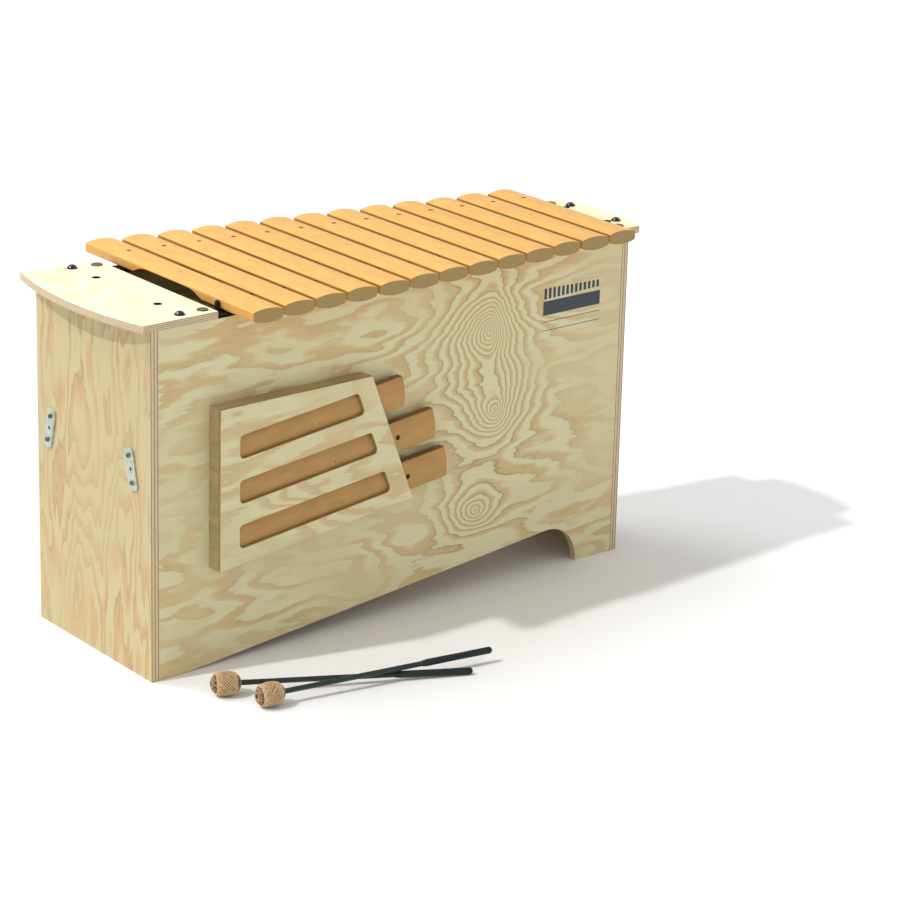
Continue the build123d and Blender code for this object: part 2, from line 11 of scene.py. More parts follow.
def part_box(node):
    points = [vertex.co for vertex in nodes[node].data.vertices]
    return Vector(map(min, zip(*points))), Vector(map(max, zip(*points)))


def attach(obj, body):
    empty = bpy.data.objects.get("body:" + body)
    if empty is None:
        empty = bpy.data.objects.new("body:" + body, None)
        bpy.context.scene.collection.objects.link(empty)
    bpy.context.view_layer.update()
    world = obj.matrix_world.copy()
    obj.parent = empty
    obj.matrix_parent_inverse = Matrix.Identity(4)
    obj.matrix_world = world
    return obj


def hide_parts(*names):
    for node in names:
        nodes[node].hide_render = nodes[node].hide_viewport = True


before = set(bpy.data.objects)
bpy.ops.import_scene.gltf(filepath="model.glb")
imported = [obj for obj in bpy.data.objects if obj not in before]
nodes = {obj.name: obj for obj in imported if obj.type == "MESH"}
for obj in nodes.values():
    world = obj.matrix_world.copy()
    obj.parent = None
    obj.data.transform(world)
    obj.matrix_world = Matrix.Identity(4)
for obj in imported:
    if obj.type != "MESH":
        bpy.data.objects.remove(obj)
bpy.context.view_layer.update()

MM = 0.001
TAPER = radians(4.07)  # each long face runs in towards the treble end by this angle
HOLDER_TILT = radians(6.0)  # the spare bars climb at this angle
CENTRE_Y = 0.1017  # the line that the middles of all the bars lie on
FRONT_RUN = Vector((cos(TAPER), sin(TAPER), 0))
FRONT_OUT = Vector((sin(TAPER), -cos(TAPER), 0))
BACK_RUN = Vector((cos(TAPER), -sin(TAPER), 0))
BACK_OUT = Vector((sin(TAPER), cos(TAPER), 0))
X, Y, Z = Vector((1, 0, 0)), Vector((0, 1, 0)), Vector((0, 0, 1))


# --- shader building ---------------------------------------------------------------------------
def srgb(r, g, b):
    """An sRGB colour in 0-255 as linear values with alpha."""
    shares = (c / 255 for c in (r, g, b))
    return (*(((c + 0.055) / 1.055) ** 2.4 if c > 0.04045 else c / 12.92 for c in shares), 1.0)


class Shader:
    """One material, with short calls that add nodes to it. Lengths on its sockets are in millimetres."""

    def __init__(self, name):
        self.material = bpy.data.materials.new(name)
        self.material.use_nodes = True
        self.tree = self.material.node_tree
        self.bsdf = self.tree.nodes["Principled BSDF"]
        coord = self.node("ShaderNodeTexCoord")
        self.position = self.vector("SCALE", coord.outputs["Object"], scale=1000.0)
        self.normal = coord.outputs["Normal"]

    def node(self, kind, **settings):
        made = self.tree.nodes.new(kind)
        for key, value in settings.items():
            setattr(made, key, value)
        return made

    def feed(self, socket, value):
        if isinstance(value, bpy.types.NodeSocket):
            self.tree.links.new(value, socket)
        else:
            socket.default_value = value

    def set(self, **values):
        """Feeds the surface shader's sockets, named with underscores for spaces."""
        for key, value in values.items():
            self.feed(self.bsdf.inputs[key.replace("_", " ")], value)
        return self

    def math(self, operation, a, b=0.0, c=0.0, clamp=False):
        made = self.node("ShaderNodeMath", operation=operation, use_clamp=clamp)
        for socket, value in zip(made.inputs, (a, b, c)):
            self.feed(socket, value)
        return made.outputs[0]

    def vector(self, operation, a, b=(0, 0, 0), scale=1.0):
        made = self.node("ShaderNodeVectorMath", operation=operation)
        self.feed(made.inputs[0], a)
        if operation == "SCALE":
            self.feed(made.inputs["Scale"], scale)
        else:
            self.feed(made.inputs[1], b)
        return made.outputs["Value" if operation == "DOT_PRODUCT" else "Vector"]

    def along(self, direction, origin=(0, 0, 0)):
        """Distance along a direction, in millimetres."""
        moved = self.vector("SUBTRACT", self.position, tuple(c * 1000 for c in origin))
        return self.vector("DOT_PRODUCT", moved, tuple(direction))

    def facing(self, direction, low=0.55, high=0.8):
        """1 on faces whose normal lies along a direction, either way round, 0 on the others."""
        dot = self.math("ABSOLUTE", self.vector("DOT_PRODUCT", self.normal, tuple(direction)))
        return self.smooth(dot, low, high)

    def combine(self, x, y, z=0.0):
        made = self.node("ShaderNodeCombineXYZ")
        for socket, value in zip(made.inputs, (x, y, z)):
            self.feed(socket, value)
        return made.outputs[0]

    def smooth(self, value, low, high, out_low=0.0, out_high=1.0):
        """An eased step from out_low to out_high as the value goes from low to high."""
        made = self.node("ShaderNodeMapRange", interpolation_type="SMOOTHSTEP")
        names = ("Value", "From Min", "From Max", "To Min", "To Max")
        for name, v in zip(names, (value, low, high, out_low, out_high)):
            self.feed(made.inputs[name], v)
        return made.outputs[0]

    def noise(self, vector, detail=2.0, roughness=0.5, distortion=0.0, scale=1.0):
        made = self.node("ShaderNodeTexNoise")
        self.feed(made.inputs["Vector"], vector)
        names = ("Scale", "Detail", "Roughness", "Distortion")
        for name, v in zip(names, (scale, detail, roughness, distortion)):
            self.feed(made.inputs[name], v)
        return made.outputs["Fac"]

    def ramp(self, factor, stops, interpolation="LINEAR"):
        made = self.node("ShaderNodeValToRGB")
        made.color_ramp.interpolation = interpolation
        elements = made.color_ramp.elements
        while len(elements) < len(stops):
            elements.new(0.5)
        for element, (place, colour) in zip(elements, stops):
            element.position = place
            element.color = colour
        self.feed(made.inputs[0], factor)
        return made.outputs[0]

    def mix(self, factor, a, b, blend="MIX"):
        made = self.node("ShaderNodeMix", data_type="RGBA", blend_type=blend)
        self.feed(made.inputs[0], factor)
        self.feed(made.inputs[6], a)
        self.feed(made.inputs[7], b)
        return made.outputs[2]

    def bump(self, height, distance, strength=1.0):
        """Height in 0..1, distance in millimetres."""
        made = self.node("ShaderNodeBump")
        self.feed(made.inputs["Strength"], strength)
        self.feed(made.inputs["Distance"], distance * MM)
        self.feed(made.inputs["Height"], height)
        return made.outputs[0]


# --- wood ---------------------------------------------------------------------------------------
PINE = {
    "light": srgb(216, 209, 167),
    "pale": srgb(219, 212, 169),
    "tan": srgb(208, 182, 132),
    "line": srgb(168, 146, 102),
}
PLY = (srgb(214, 196, 160), srgb(128, 100, 72))  # the thick light ply's edge, and the thin dark ply's
HOLE_PAINTED_SHADE = srgb(40, 34, 24)
EULER = 2.718


def veneer_colour(s, u, v, stretch, rings, seed, tones, knots=(), contrast=1.0, crisp=0.25):
    """Rotary-cut softwood: soft contour bands of a slow height field, with crisp lines round the knots.

    A knot is its place along u and v, its spread to the left, to the right and up and down in
    millimetres, and the rings that it adds.
    """
    w = float(seed)

    def layer(length_u, length_v, **kwargs):
        return s.noise(
            s.combine(s.math("DIVIDE", u, length_u * stretch), s.math("DIVIDE", v, length_v), w), **kwargs
        )

    height = s.math("MULTIPLY", layer(360, 150, detail=1.2), rings)
    height = s.math("MULTIPLY_ADD", layer(120, 28, detail=2.0), rings * 0.22, height)
    height = s.math("MULTIPLY_ADD", layer(22, 5, detail=2.0), rings * 0.03, height)
    near = crisp
    for u0, v0, radius_left, radius_right, radius_v, turns in knots:
        right_of = s.math("SUBTRACT", u, u0)
        du = s.math("MAXIMUM", *(s.math("DIVIDE", right_of, r) for r in (radius_right, -radius_left)))
        dv = s.math("DIVIDE", s.math("SUBTRACT", v, v0), radius_v)
        squared = s.math("ADD", s.math("MULTIPLY", du, du), s.math("MULTIPLY", dv, dv))
        fall = s.math("POWER", EULER, s.math("MULTIPLY", s.math("SQRT", squared), -1.0))
        height = s.math("MULTIPLY_ADD", fall, turns, height)
        near = s.math("MULTIPLY_ADD", fall, 3.0, near)
    phase = s.math("FRACT", height)
    ring = s.ramp(
        phase,
        [
            (0.0, tones["light"]),
            (0.35, tones["pale"]),
            (0.68, tones["tan"]),
            (0.86, tones["tan"]),
            (1.0, tones["light"]),
        ],
        "EASE",
    )
    line = s.math("MULTIPLY", s.smooth(phase, 0.78, 0.92), s.smooth(phase, 0.95, 1.0, 1.0, 0.0))
    ring = s.mix(s.math("MULTIPLY", line, s.math("MINIMUM", near, 0.8)), ring, tones["line"])
    calm = s.mix(0.35, tones["light"], tones["tan"])
    strength = s.smooth(layer(230, 110, detail=1.0), 0.36, 0.6, 0.3 * contrast, contrast)
    strength = s.math("MAXIMUM", strength, s.math("MINIMUM", near, contrast))
    colour = s.mix(strength, calm, ring)
    fibre = s.noise(s.combine(s.math("DIVIDE", u, 60 * stretch), s.math("DIVIDE", v, 0.9), w), detail=3.0)
    shade = s.smooth(fibre, 0.25, 0.75, 0.95, 1.03)
    return s.mix(1.0, colour, s.combine(shade, shade, shade), "MULTIPLY"), phase, fibre


def ply_colour(s, depth, pitch, u, v, seed, tones):
    """The edge of a board: light plies with a thin dark one between each two."""
    wander = s.noise(s.combine(s.math("DIVIDE", u, 60.0), s.math("DIVIDE", v, 60.0), seed), detail=1.0)
    depth = s.math("MULTIPLY_ADD", wander, 0.35, depth)
    away = s.math("ABSOLUTE", s.math("SUBTRACT", s.math("FRACT", s.math("DIVIDE", depth, pitch)), 0.5))
    thin = s.smooth(away, 0.10, 0.17, 1.0, 0.0)
    grain = s.noise(s.combine(s.math("DIVIDE", u, 6.0), s.math("DIVIDE", v, 6.0), depth), detail=3.0)
    colour = s.mix(s.smooth(grain, 0.25, 0.75, 0.0, 0.3), tones[0], srgb(184, 156, 118))
    return s.mix(s.math("MULTIPLY", thin, 0.85), colour, tones[1])


def board(name, along, across, thick, origin, pitch=3.0, shift=0.0, ply=PLY, tones=PINE, stretch=1.0,
          rings=9.0, seed=1.0, knots=(), contrast=1.0, crisp=0.25, roughness=0.5, holes=()):
    """A veneered ply board: figured faces, laminated edges, painted shade in and round its holes."""
    s = Shader(name)
    u, v, depth = (s.along(d, origin) for d in (along, across, thick))
    face, phase, fibre = veneer_colour(s, u, v, stretch, rings, seed, tones, knots, contrast, crisp)
    edge = ply_colour(s, s.math("ADD", depth, shift), pitch, u, v, seed, ply)
    colour = s.mix(s.facing(thick), edge, face)
    # painted shade: dark inside each hole and in a thin ring just outside its rim
    for centre, radius in holes:
        hole_u, hole_v = (s.along(d, centre) for d in (along, across))
        squares = (s.math("MULTIPLY", side, side) for side in (hole_u, hole_v))
        far = s.math("SQRT", s.math("ADD", *squares))
        colour = s.mix(s.smooth(far, radius + 0.3, radius + 1.1, 1.0, 0.0), colour, HOLE_PAINTED_SHADE)
    s.set(
        Base_Color=colour,
        Roughness=s.smooth(fibre, 0.2, 0.8, roughness - 0.06, roughness + 0.08),
        Normal=s.bump(s.math("MULTIPLY_ADD", phase, 0.3, fibre), 0.1, 0.3),
        Specular_IOR_Level=0.35,
    )
    return s


def plain_wood(name, along, across, colour, dark, seed=0.0, roughness=0.6):
    """Solid wood with a straight quiet grain."""
    s = Shader(name)
    u, v = s.along(along), s.along(across)
    depth = s.along(Vector(along).cross(Vector(across)))
    stretched = s.combine(s.math("DIVIDE", u, 90.0), s.math("DIVIDE", v, 3.0), s.math("DIVIDE", depth, 3.0))
    grain = s.noise(stretched, detail=4.0, distortion=0.4)
    broad = s.noise(s.combine(s.math("DIVIDE", u, 200.0), s.math("DIVIDE", v, 30.0), seed), detail=2.0)
    tone = s.math("MULTIPLY_ADD", broad, 0.5, s.math("MULTIPLY", grain, 0.5))
    s.set(
        Base_Color=s.mix(s.smooth(tone, 0.3, 0.7), dark, colour),
        Roughness=s.smooth(grain, 0.2, 0.8, roughness - 0.08, roughness + 0.08),
        Normal=s.bump(grain, 0.1, 0.4),
        Specular_IOR_Level=0.3,
    )
    return s


# --- other finishes ---------------------------------------------------------------------------------
def composite(name, top, mottle, side, end_tone_and_shade, across, along, crown, seed, roughness=0.42):
    """Glass-fibre bar: warm and softly clouded, with painted shade on its sides, and darker on its sawn
    ends, partly their own duller tone and partly painted shade.
    """
    s = Shader(name)
    u, v, w = s.along(along), s.along(across), s.along(crown)

    def grain(length_u, length_v, detail):
        pairs = zip((u, v, w), (length_u, length_v, length_v))
        return s.noise(s.combine(*(s.math("DIVIDE", *pair) for pair in pairs)), detail=detail)

    streak = grain(70.0, 4.0, 3.0)
    cloud = s.noise(s.combine(s.math("DIVIDE", u, 46.0), s.math("DIVIDE", v, 18.0), seed), detail=3.0)
    speck = grain(3.0, 1.2, 2.0)
    tone = s.math("MULTIPLY_ADD", streak, 0.25, s.math("MULTIPLY", cloud, 0.75))
    colour = s.mix(s.smooth(tone, 0.34, 0.66), mottle, top)
    colour = s.mix(s.smooth(speck, 0.62, 0.78, 0.0, 0.2), colour, mottle)
    # painted shade on the long sides, with a thin dark line where the top rounds over
    colour = s.mix(s.facing(across, 0.6, 0.95), colour, side)
    # the sawn ends: their own duller speckled tone, darkened further with painted shade
    end = s.mix(s.smooth(speck, 0.3, 0.7, 0.0, 0.4), end_tone_and_shade, srgb(140, 112, 62))
    colour = s.mix(s.facing(along, 0.7, 0.9), colour, end)
    s.set(
        Base_Color=colour,
        Roughness=s.smooth(cloud, 0.3, 0.7, roughness - 0.05, roughness + 0.1),
        Normal=s.bump(s.math("MULTIPLY_ADD", speck, 0.5, streak), 0.08, 0.3),
        Specular_IOR_Level=0.4,
        Coat_Weight=0.08,
        Coat_Roughness=0.3,
    )
    return s


def grainy(name, dark, light, size, roughness, bump_mm, specular=0.4, **extra):
    """Felt, rubber, plastic or paint: one colour, broken up by a fine irregular grain."""
    s = Shader(name)
    fine = s.noise(s.vector("SCALE", s.position, scale=1.0 / size), detail=4.0, roughness=0.6)
    broad = s.noise(s.vector("SCALE", s.position, scale=1.0 / (size * 22)), detail=2.0)
    tone = s.math("MULTIPLY_ADD", broad, 0.6, s.math("MULTIPLY", fine, 0.4))
    s.set(
        Base_Color=s.mix(s.smooth(tone, 0.35, 0.65), dark, light),
        Roughness=s.smooth(fine, 0.25, 0.75, roughness - 0.07, roughness + 0.09),
        Normal=s.bump(fine, bump_mm, 0.6),
        Specular_IOR_Level=specular,
        **extra,
    )
    return s


def metal(name, dark, light, roughness, brush=Z):
    """Plated steel with fine scratches and a few dull spots."""
    s = Shader(name)
    along = s.along(brush)
    side = s.vector("SCALE", s.position, scale=1.0 / 0.6)
    drawn_out = s.vector("ADD", side, s.combine(0.0, 0.0, s.math("MULTIPLY", along, -1.5)))
    scratch = s.noise(drawn_out, detail=3.0)
    spots = s.noise(s.vector("SCALE", s.position, scale=1.0 / 9.0), detail=3.0)
    worn = s.math("MULTIPLY_ADD", spots, 0.6, s.math("MULTIPLY", scratch, 0.4))
    s.set(
        Base_Color=s.mix(s.smooth(spots, 0.35, 0.7), dark, light),
        Metallic=1.0,
        Roughness=s.smooth(worn, 0.3, 0.7, roughness - 0.08, roughness + 0.14),
        Normal=s.bump(scratch, 0.03, 0.5),
    )
    return s


def dress(shader, *names):
    """Gives CAD nodes a finish in place of their packed one."""
    for name in names:
        slots = nodes[name].material_slots
        if not slots:
            nodes[name].data.materials.append(shader.material)
        for slot in slots:
            slot.material = shader.material


# --- wooden pieces --------------------------------------------------------------------------------
low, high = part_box("front_panel")
front_corner = Vector((low.x, low.y, 0))
FRONT_SEED = 3.1
FRONT_KNOTS = (
    (714.0, 479.0, 70.0, 36.0, 72.0, 13.0),
    (732.0, 329.0, 55.0, 34.0, 42.0, 9.0),
    (691.0, 151.0, 50.0, 45.0, 34.0, 6.0),
)
BACK_KNOTS = (
    (300.0, 330.0, 60.0, 40.0, 44.0, 9.0),
    (760.0, 210.0, 45.0, 32.0, 34.0, 7.0),
)
dress(
    board("front_veneer", FRONT_RUN, Z, FRONT_OUT, front_corner, seed=FRONT_SEED, knots=FRONT_KNOTS),
    "front_panel",
)
low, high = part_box("back_panel")
back_corner = Vector((low.x, high.y, 0))
dress(
    board("back_veneer", BACK_RUN, Z, BACK_OUT, back_corner, seed=8.4, knots=BACK_KNOTS),
    "back_panel",
)
# the front's pine toned darker: painted shade on the side panels
SHADED_SIDE_PINE = {
    "light": srgb(190, 180, 136),
    "pale": srgb(193, 178, 134),
    "tan": srgb(190, 159, 113),
    "line": srgb(158, 128, 87),
}
for number, name in enumerate(("bass_side_panel", "treble_side_panel")):
    low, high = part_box(name)
    dress(
        board(f"{name}_veneer", Z, Y, X, low, tones=SHADED_SIDE_PINE, stretch=1.25, rings=12.0,
              seed=20.7 + 6 * number, pitch=6.5, shift=2.4, contrast=0.95, crisp=0.55),
        name,
    )
PLATE = {
    "light": srgb(250, 240, 205),
    "pale": srgb(252, 244, 212),
    "tan": srgb(246, 231, 186),
    "line": srgb(238, 222, 176),
}
# each place gets painted shade: dark in the coupling holes, a thin dark ring round the caps and bolts
PLATE_HOLES = {  # coupling hole, cap and bolt: x and distance from the centre line in metres, radius in mm
    "bass_end_plate": ((-0.4558, 0.0958, 7.0), (-0.4133, 0.1636, 9.6), (-0.4595, 0.1676, 9.0)),
    "treble_end_plate": ((0.5230, 0.0590, 7.0), (0.5175, 0.0970, 9.6), (0.5385, 0.0650, 9.0)),
}
for number, (name, holes) in enumerate(PLATE_HOLES.items()):
    low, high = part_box(name)
    round_holes = [(Vector((x, CENTRE_Y + s * d, 0)), r) for x, d, r in holes for s in (-1, 1)]
    dress(
        board(f"{name}_veneer", Y, X, Z, low, tones=PLATE, stretch=1.4, rings=6.0, seed=40.2 + 7 * number,
              pitch=3.25, contrast=0.8, roughness=0.42, holes=round_holes),
        name,
    )
HOLDER = {
    "light": srgb(214, 206, 162),
    "pale": srgb(218, 210, 166),
    "tan": srgb(208, 186, 140),
    "line": srgb(182, 158, 114),
}
low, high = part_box("holder_face_plate")
# its ply edges are toned darker than the other boards': painted shade on the window walls
holder = board("holder_veneer", FRONT_RUN, Z, FRONT_OUT, low, tones=HOLDER, pitch=6.2,
               ply=(srgb(172, 148, 106), srgb(134, 108, 74)), rings=9.0, seed=61.3)
dress(holder, "holder_face_plate")
strip_wood = plain_wood("holder_strip_wood", FRONT_RUN, Z, srgb(192, 172, 132), srgb(158, 134, 94))
dress(strip_wood, "holder_left_strip", "holder_top_strip", "holder_ledges")
inner_wood = plain_wood("inner_wood", X, Y, srgb(196, 170, 124), srgb(160, 130, 88), 5.0)
dress(inner_wood, "bottom_board", "partition_1", "partition_2", "partition_3", "front_rail")
rail_wood = plain_wood("rail_wood", X, Z, srgb(206, 186, 140), srgb(176, 150, 104), 9.0)
dress(rail_wood, "back_rail", "treble_batten")

# --- bars ---------------------------------------------------------------------------------------
BAR_TOP = (238, 184, 98)
BAR_MOTTLE = (230, 170, 84)
# the side tones are painted shade: deep on bars 2 to 13, whose sides face into the gaps, lighter on the
# first bar's open side
SHADED_BAR_SIDE = (166, 118, 54)
LIT_FIRST_BAR_SIDE = (214, 158, 82)
# the end tone is partly the sawn ends' own colour and partly painted shade
BAR_END_TONE_AND_SHADE = (162, 136, 78)
rng = random.Random(4)
for number in range(1, 14):
    drift = rng.uniform(-3.0, 3.0)
    tones = (BAR_TOP, BAR_MOTTLE, LIT_FIRST_BAR_SIDE if number == 1 else SHADED_BAR_SIDE)
    top, mottle, side = (srgb(*(c + drift for c in tone)) for tone in tones)
    name = f"bar_{number:02d}"
    dress(composite(f"{name}_composite", top, mottle, side, srgb(*BAR_END_TONE_AND_SHADE), X, Y, Z, float(number)), name)
spare_along = FRONT_RUN * cos(HOLDER_TILT) + Z * sin(HOLDER_TILT)
spare_across = FRONT_RUN * -sin(HOLDER_TILT) + Z * cos(HOLDER_TILT)
# top, mottle, side and end tones of the spare bars; the side tone and part of the end tone are painted
# shade
SPARE_TONES_AND_SHADE = tuple(srgb(*c) for c in ((186, 142, 76), (176, 132, 68), (116, 84, 48), (150, 118, 70)))
spare_axes = (spare_across, spare_along, FRONT_OUT)
for number in range(1, 4):
    name = f"spare_bar_{number}"
    dress(composite(f"{name}_composite", *SPARE_TONES_AND_SHADE, *spare_axes, 30.0 + number), name)

# --- felt, rubber and metal -------------------------------------------------------------------------
felt = grainy("black_felt", srgb(16, 14, 11), srgb(28, 25, 20), 0.7, 0.95, 0.4, 0.1, Sheen_Weight=0.05)
dress(felt, "front_felt", "back_felt")
rubber = grainy("black_rubber", srgb(12, 14, 14), srgb(22, 24, 24), 1.2, 0.6, 0.05, 0.25)
dress(rubber, "front_pin_sleeves", "back_pin_sleeves")
gloss = {"Coat_Weight": 0.5, "Coat_Roughness": 0.06}
dress(grainy("bolt_paint", srgb(5, 7, 9), srgb(13, 16, 19), 1.4, 0.14, 0.02, 0.5, **gloss), "dome_bolts")
dress(grainy("cap_paint", srgb(66, 70, 54), srgb(84, 88, 70), 1.0, 0.34, 0.04, 0.5), "plate_caps")
steel = metal("plated_steel", srgb(182, 190, 178), srgb(210, 216, 204), 0.42)
dress(steel, "fixing_plates", "front_pins", "back_pins")
dress(metal("screw_steel", srgb(70, 76, 72), srgb(120, 128, 122), 0.3), "fixing_screws")

# --- plaque: the panel's own figure, printed with a band, a row of uprights and two rules ------------
PRINT = srgb(48, 62, 70)
PRINT_SPAN = (1.5, 139.5)  # start and end along the plaque, in millimetres
BAND = (32.0, 58.0)  # lower and upper edge, above the plaque's lower edge
RULES = ((19.5, 20.7), (3.2, 4.4))
ROW_SPAN = (2.0, 139.0)
ROW_PITCH = 10.54
ROW_MIDDLE = 71.5
UPRIGHT = (0.12, 0.74)  # start and end of an upright, as shares of the pitch
UPRIGHT_REACH = (10.0, 6.5)  # half height of the uprights at the left edge and at the right edge
PLAQUE_W = 141.0

plaque = Shader("plaque_print")
dress(plaque, "blank_plaque")
low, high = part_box("blank_plaque")
u, v, depth = (plaque.along(d, front_corner) for d in (FRONT_RUN, Z, FRONT_OUT))
wood, phase, fibre = veneer_colour(plaque, u, v, 1.0, 9.0, FRONT_SEED, PINE, FRONT_KNOTS)
plaque_v = plaque.math("SUBTRACT", v, low.z / MM)
plaque_u = plaque.math("SUBTRACT", u, (low.x - front_corner.x) / MM / cos(TAPER))


def inside(s, value, start, end, soft=0.25):
    """1 where the value lies between start and end, 0 elsewhere."""
    rise = s.smooth(value, start - soft, start + soft)
    return s.math("MULTIPLY", rise, s.smooth(value, end - soft, end + soft, 1.0, 0.0))


band = inside(plaque, plaque_v, *BAND)
from_first = plaque.math("SUBTRACT", plaque_u, ROW_SPAN[0])
step = plaque.math("FRACT", plaque.math("DIVIDE", from_first, ROW_PITCH))
upright = inside(plaque, step, *UPRIGHT, soft=0.02)
reach = plaque.smooth(plaque_u, 0.0, PLAQUE_W, *UPRIGHT_REACH)
offset = plaque.math("ABSOLUTE", plaque.math("SUBTRACT", plaque_v, ROW_MIDDLE))
tall = plaque.smooth(plaque.math("SUBTRACT", offset, reach), -0.3, 0.3, 1.0, 0.0)
row = plaque.math("MULTIPLY", plaque.math("MULTIPLY", upright, tall), inside(plaque, plaque_u, *ROW_SPAN))
rules = plaque.math("ADD", *(inside(plaque, plaque_v, *rule) for rule in RULES))
ink = plaque.math("MAXIMUM", plaque.math("MAXIMUM", band, row), rules)
ink = plaque.math("MULTIPLY", ink, inside(plaque, plaque_u, *PRINT_SPAN), clamp=True)
plaque.set(
    Base_Color=plaque.mix(ink, wood, PRINT),
    Roughness=plaque.smooth(fibre, 0.2, 0.8, 0.4, 0.5),
    Normal=plaque.bump(plaque.math("MULTIPLY_ADD", ink, 0.3, fibre), 0.08, 0.3),
    Specular_IOR_Level=0.4,
)


# --- beaters ------------------------------------------------------------------------------------
def new_piece(name, mesh, shader, body, slot, *replaced):
    """Adds a mesh that rides on a body and stands in for the CAD nodes it replaces. The slot it is given is
    not used.
    """
    piece = bpy.data.objects.new(name, mesh)
    bpy.context.scene.collection.objects.link(piece)
    mesh.materials.append(shader.material)
    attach(piece, body)
    if replaced:
        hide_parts(*replaced)
    return piece


def tube(mesh, path, radius, sides=6):
    """Adds a closed tube along a looped path."""
    count = len(path)
    rings = []
    for i, point in enumerate(path):
        tangent = (path[(i + 1) % count] - path[i - 1]).normalized()
        outward = point.normalized()
        side = tangent.cross(outward).normalized()
        rings.append(
            [
                mesh.verts.new(point + (outward * cos(t) + side * sin(t)) * radius)
                for t in (2 * pi * k / sides for k in range(sides))
            ]
        )
    for i in range(count):
        a, b = rings[i], rings[(i + 1) % count]
        for k in range(sides):
            mesh.faces.new((a[k], a[(k + 1) % sides], b[(k + 1) % sides], b[k])).smooth = True


HEAD_HALF = 26.4 * MM
HEAD_R = 20.6 * MM
YARN_R = 0.95 * MM
WINDINGS = (  # lean of the turns off the head's axis in degrees, how many, depth under the surface
    (13, 13, 0.9 * MM),
    (26, 13, 1.0 * MM),
    (44, 23, 0.0),
)
BLUNT = 2.5  # 2 gives an ellipsoid, more gives blunter ends
TURN_POINTS = 56  # points along one turn of yarn
LEAN_SCATTER = 2.5  # how far a turn's lean strays, in degrees
SPIN_SCATTER = 0.12  # and its place among the turns, as a share of their spacing
BULGE = 0.02
UNDER_DEPTH = 3.0 * MM  # the under-layer lies this deep below the surface


def head_point(direction, shrink):
    """Point of the barrel-like head in a direction; local x is its axis."""
    flat = sqrt(direction.y**2 + direction.z**2)
    share = (abs(direction.x) / (HEAD_HALF - shrink)) ** BLUNT + (flat / (HEAD_R - shrink)) ** BLUNT
    return direction * share ** (-1 / BLUNT)


def to_mesh(mesh, name):
    """Turns the working mesh into mesh data with a name."""
    made = bpy.data.meshes.new(name)
    mesh.to_mesh(made)
    mesh.free()
    return made


def wound_head(name, seed):
    """Yarn wound over a core: turns that lean the same way cross each other as a lattice."""
    draw = random.Random(seed)
    mesh = bmesh.new()
    for lean, turns, depth in WINDINGS:
        for turn in range(turns):
            tilt = radians(lean + draw.uniform(-LEAN_SCATTER, LEAN_SCATTER))
            spin = 2 * pi * (turn + draw.uniform(-SPIN_SCATTER, SPIN_SCATTER)) / turns
            normal = Vector((sin(tilt), cos(tilt) * cos(spin), cos(tilt) * sin(spin)))
            first = normal.orthogonal().normalized()
            second = normal.cross(first)
            shrink = YARN_R + depth + draw.uniform(0, 0.5) * MM
            phase = draw.uniform(0, 6.28)
            path = []
            for k in range(TURN_POINTS):
                t = 2 * pi * k / TURN_POINTS
                bulge = normal * BULGE * sin(2 * t + phase)
                path.append(head_point((first * cos(t) + second * sin(t) + bulge).normalized(), shrink))
            tube(mesh, path, YARN_R)
    return to_mesh(mesh, name)


def under_layer(name):
    """The under-layer that shows between the turns, darkened by the yarn shader as painted shade."""
    mesh = bmesh.new()
    for vert in bmesh.ops.create_icosphere(mesh, subdivisions=4, radius=1.0)["verts"]:
        vert.co = head_point(vert.co.normalized(), UNDER_DEPTH)
    for face in mesh.faces:
        face.smooth = True
    return to_mesh(mesh, name)


def lathe(name, outline, segments=40):
    """Turns an outline of (distance along x, radius) points about the x axis."""
    mesh = bmesh.new()
    angles = [2 * pi * k / segments for k in range(segments)]
    rings = [[mesh.verts.new((x, r * cos(t), r * sin(t))) for t in angles] for x, r in outline]
    for a, b in zip(rings, rings[1:]):
        for k in range(segments):
            mesh.faces.new((a[k], b[k], b[(k + 1) % segments], a[(k + 1) % segments])).smooth = True
    for ring in (rings[0], rings[-1]):
        mesh.faces.new(ring)
    bmesh.ops.recalc_face_normals(mesh, faces=mesh.faces)
    return to_mesh(mesh, name)


def yarn_shader(name, head, run):
    """Wound yarn: light on the outer turns, with painted shade the deeper it lies in the head."""
    s = Shader(name)
    strand = s.noise(s.vector("SCALE", s.position, scale=1 / 0.55), detail=3.0, roughness=0.6)
    cloud = s.noise(s.vector("SCALE", s.position, scale=1 / 5.0), detail=2.0)
    moved = s.vector("SUBTRACT", s.position, tuple(c / MM for c in head))
    along = s.math("ABSOLUTE", s.along(run, head))
    squares = (s.vector("DOT_PRODUCT", moved, moved), s.math("MULTIPLY", along, along))
    out_squared = s.math("SUBTRACT", *squares)
    out = s.math("SQRT", s.math("MAXIMUM", out_squared, 0.0))
    shares = (s.math("DIVIDE", along, HEAD_HALF / MM), s.math("DIVIDE", out, HEAD_R / MM))
    share = s.math("POWER", s.math("ADD", *(s.math("POWER", part, BLUNT) for part in shares)), 1 / BLUNT)
    colour = s.mix(s.smooth(cloud, 0.3, 0.7), srgb(186, 156, 116), srgb(212, 182, 138))
    colour = s.mix(s.smooth(strand, 0.5, 0.75, 0.0, 0.4), colour, srgb(150, 118, 80))
    # painted shade: yarn lying deeper than the outer turns, and the under-layer, goes dark brown
    colour = s.mix(s.smooth(share, 0.92, 0.968), srgb(76, 52, 30), colour)
    s.set(
        Base_Color=colour,
        Roughness=0.85,
        Normal=s.bump(strand, 0.4, 0.7),
        Specular_IOR_Level=0.15,
        Sheen_Weight=0.1,
        Sheen_Roughness=0.6,
    )
    return s


